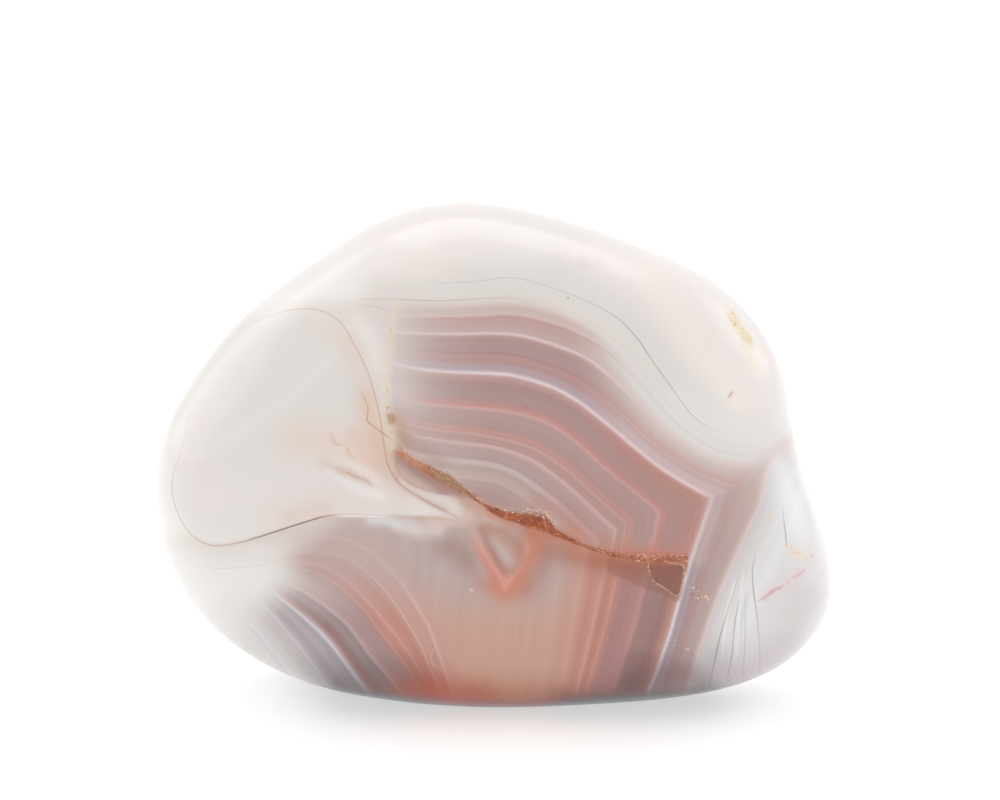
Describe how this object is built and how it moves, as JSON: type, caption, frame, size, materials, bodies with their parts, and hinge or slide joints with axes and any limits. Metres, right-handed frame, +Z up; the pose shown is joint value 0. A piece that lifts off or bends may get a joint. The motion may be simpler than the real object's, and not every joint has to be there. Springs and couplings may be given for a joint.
{
  "type": "tumbled banded agate",
  "caption": "Polished, tumbled banded agate pebble: one rounded stone with a broad face, a slightly necked right end and a small flat patch that it stands on.",
  "frame": {"origin": "on the resting surface, under the middle of the stone's bounding box", "axes": "+Z up, +X along the stone's longest extent with the necked end at +X, and the broad face looks along -Y"},
  "size_m": [0.042, 0.0268, 0.0308],
  "materials": {
    "polished_agate": "high tumbled polish over banded white, grey, mauve and peach chalcedony, slightly translucent"
  },
  "bodies": {
    "root": {"stone": "polished_agate"}
  },
  "joints": []
}
